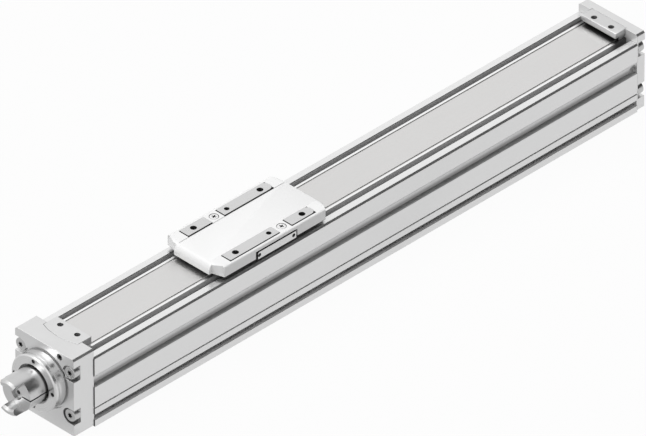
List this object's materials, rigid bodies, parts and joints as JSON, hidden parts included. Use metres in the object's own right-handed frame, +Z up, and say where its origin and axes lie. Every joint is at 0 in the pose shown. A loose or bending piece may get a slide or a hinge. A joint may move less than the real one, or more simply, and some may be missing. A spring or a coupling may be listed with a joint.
{
  "type": "ball screw linear axis",
  "caption": "Ball screw linear axis: slotted aluminium profile, end caps, cover strip, flat slide on guide rails, drive flange and clawed coupling hub.",
  "frame": {"origin": "middle of the profile's flat base face, halfway along the profile", "axes": "+X across the axis, +Y along it from the drive end to the far end, +Z up through the slide"},
  "size_m": [0.06, 0.6081, 0.0712],
  "materials": {
    "anodised_profile": "natural anodised extrusion, satin with fine draw lines",
    "end_cap": "anodised, fine blasted",
    "turned_collar": "turned bright, fine rings",
    "turned_hub": "turned bright",
    "steel_strip": "rolled stainless strip, satin",
    "bumper_rubber": "matt black rubber",
    "machined_carriage": "machined, anodised",
    "white_cover": "white moulded, fine satin",
    "white_screw": "white coated",
    "side_plate": "punched plate, satin",
    "dark_plastic": "black moulded",
    "wiper_felt": "pressed felt",
    "magnet": "sintered, dull",
    "guide_steel": "ground bearing steel",
    "spindle_steel": "rolled and hardened",
    "zinc_steel": "zinc plated"
  },
  "bodies": {
    "frame": {"profile_extrusion": "anodised_profile", "drive_end_cap": "end_cap", "far_end_cap": "end_cap", "bearing_flange": "turned_collar", "bearing_retaining_ring": "zinc_steel", "fixed_bearing_outer_rings": "zinc_steel", "floating_bearing_outer_ring": "zinc_steel", "cover_strip": "steel_strip", "drive_strip_clamp": "end_cap", "far_strip_clamp": "end_cap", "drive_clamp_screws": "zinc_steel", "far_clamp_screws": "zinc_steel", "drive_cap_screws": "zinc_steel", "far_cap_screws": "zinc_steel", "cap_plug_screw": "zinc_steel", "guide_rail_left": "guide_steel", "guide_rail_right": "guide_steel", "guide_rail_screws": "zinc_steel", "drive_bumper": "bumper_rubber", "far_bumper": "bumper_rubber"},
    "spindle": {"ball_screw_spindle": "spindle_steel", "coupling_hub": "turned_hub", "hub_clamp_screw": "zinc_steel", "fixed_bearing_inner_rings": "zinc_steel", "fixed_bearing_lock_nut": "zinc_steel", "floating_bearing_inner_ring": "zinc_steel", "floating_bearing_circlip": "zinc_steel"},
    "carriage": {"carriage_body": "machined_carriage", "carriage_base": "machined_carriage", "carriage_base_screws": "zinc_steel", "ball_nut": "guide_steel", "ball_nut_screws": "zinc_steel", "runner_block_left_drive": "guide_steel", "runner_block_left_far": "guide_steel", "runner_block_right_drive": "guide_steel", "runner_block_right_far": "guide_steel", "runner_end_caps": "dark_plastic", "runner_block_screws": "zinc_steel", "slide_cover": "white_cover", "slide_cover_screws": "white_screw", "side_plate_left": "side_plate", "side_plate_right": "side_plate", "side_plate_screws": "zinc_steel", "strip_wipers": "wiper_felt", "position_magnets": "magnet"}
  },
  "joints": [
    {"name": "carriage_travel", "type": "slide", "parent": "frame", "child": "carriage", "axis": [0, 1, 0], "range_m": [-0.1088, 0.2912]},
    {"name": "spindle_turn", "type": "hinge", "parent": "frame", "child": "spindle", "pos_m": [0, 0, 0.0374], "axis": [0, 1, 0], "range_deg": [-3918, 10485]}
  ],
  "couplings": [
    {"joint": "spindle_turn", "follows": "carriage_travel", "rad_per_m": 628.32}
  ]
}
